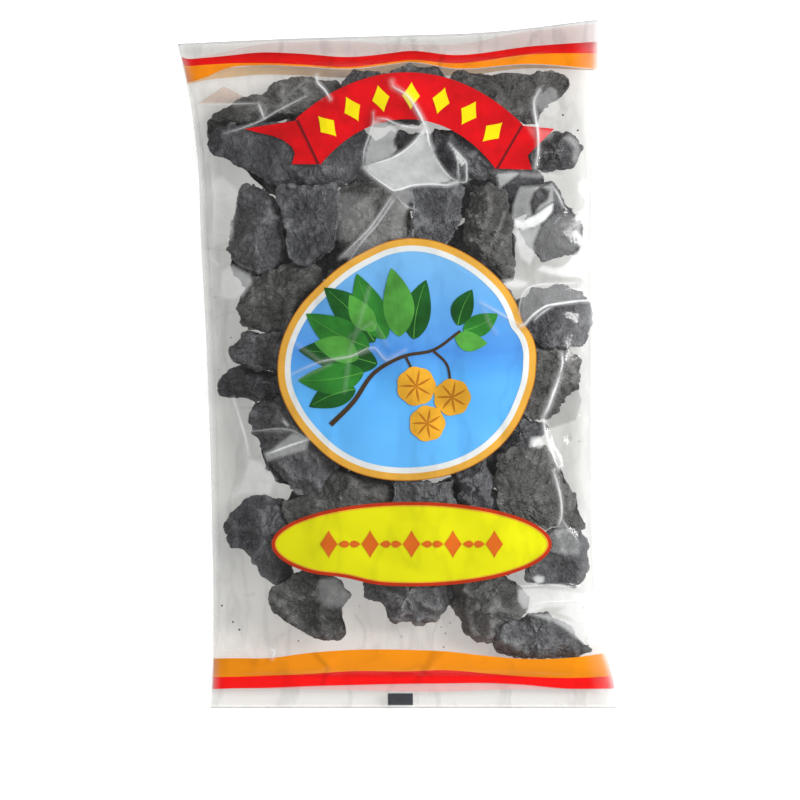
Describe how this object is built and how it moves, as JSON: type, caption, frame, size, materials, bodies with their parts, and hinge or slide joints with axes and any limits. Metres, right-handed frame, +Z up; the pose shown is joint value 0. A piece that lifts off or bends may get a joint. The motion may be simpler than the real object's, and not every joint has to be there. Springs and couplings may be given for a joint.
{
  "type": "clear pouch of dried black tamarind",
  "caption": "Clear plastic pillow pouch with printed bands, flat end seals and a back fin seal, filled with curled, lobed, dried black fruit rinds, lying on its back.",
  "frame": {"origin": "on the table, under the middle of the pouch's outline as it lies on its back", "axes": "+X across the pouch to the right as its front is read, +Y along it to its top seal, +Z up out of its front"},
  "size_m": [0.1592, 0.25, 0.0284],
  "materials": {
    "clear_film": "clear, glossy, slightly hazy packing film with printed bands",
    "sealed_film": "two layers of the same film sealed together, a little cloudier",
    "dried_rind": "dry, wrinkled, smoke-black fruit rind with a dull bloom"
  },
  "bodies": {
    "root": {"pouch_film": "clear_film", "fin_seal": "sealed_film", "rind_front_01": "dried_rind", "rind_front_02": "dried_rind", "rind_front_03": "dried_rind", "rind_front_04": "dried_rind", "rind_front_05": "dried_rind", "rind_front_06": "dried_rind", "rind_front_07": "dried_rind", "rind_front_08": "dried_rind", "rind_front_09": "dried_rind", "rind_front_10": "dried_rind", "rind_front_11": "dried_rind", "rind_front_12": "dried_rind", "rind_front_13": "dried_rind", "rind_front_14": "dried_rind", "rind_front_15": "dried_rind", "rind_front_16": "dried_rind", "rind_front_17": "dried_rind", "rind_front_18": "dried_rind", "rind_front_19": "dried_rind", "rind_front_20": "dried_rind", "rind_front_21": "dried_rind", "rind_front_22": "dried_rind", "rind_front_23": "dried_rind", "rind_front_24": "dried_rind", "rind_front_25": "dried_rind", "rind_front_26": "dried_rind", "rind_front_27": "dried_rind", "rind_front_28": "dried_rind", "rind_front_29": "dried_rind", "rind_front_30": "dried_rind", "rind_front_31": "dried_rind", "rind_front_32": "dried_rind", "rind_front_33": "dried_rind", "rind_front_34": "dried_rind", "rind_front_35": "dried_rind", "rind_front_36": "dried_rind", "rind_front_37": "dried_rind", "rind_front_38": "dried_rind", "rind_front_39": "dried_rind", "rind_front_40": "dried_rind", "rind_front_41": "dried_rind", "rind_rear_01": "dried_rind", "rind_rear_02": "dried_rind", "rind_rear_03": "dried_rind", "rind_rear_04": "dried_rind", "rind_rear_05": "dried_rind", "rind_rear_06": "dried_rind", "rind_rear_07": "dried_rind", "rind_rear_08": "dried_rind", "rind_rear_09": "dried_rind", "rind_rear_10": "dried_rind", "rind_rear_11": "dried_rind", "rind_rear_12": "dried_rind", "rind_rear_13": "dried_rind", "rind_rear_14": "dried_rind", "rind_rear_15": "dried_rind", "rind_rear_16": "dried_rind"}
  },
  "joints": []
}
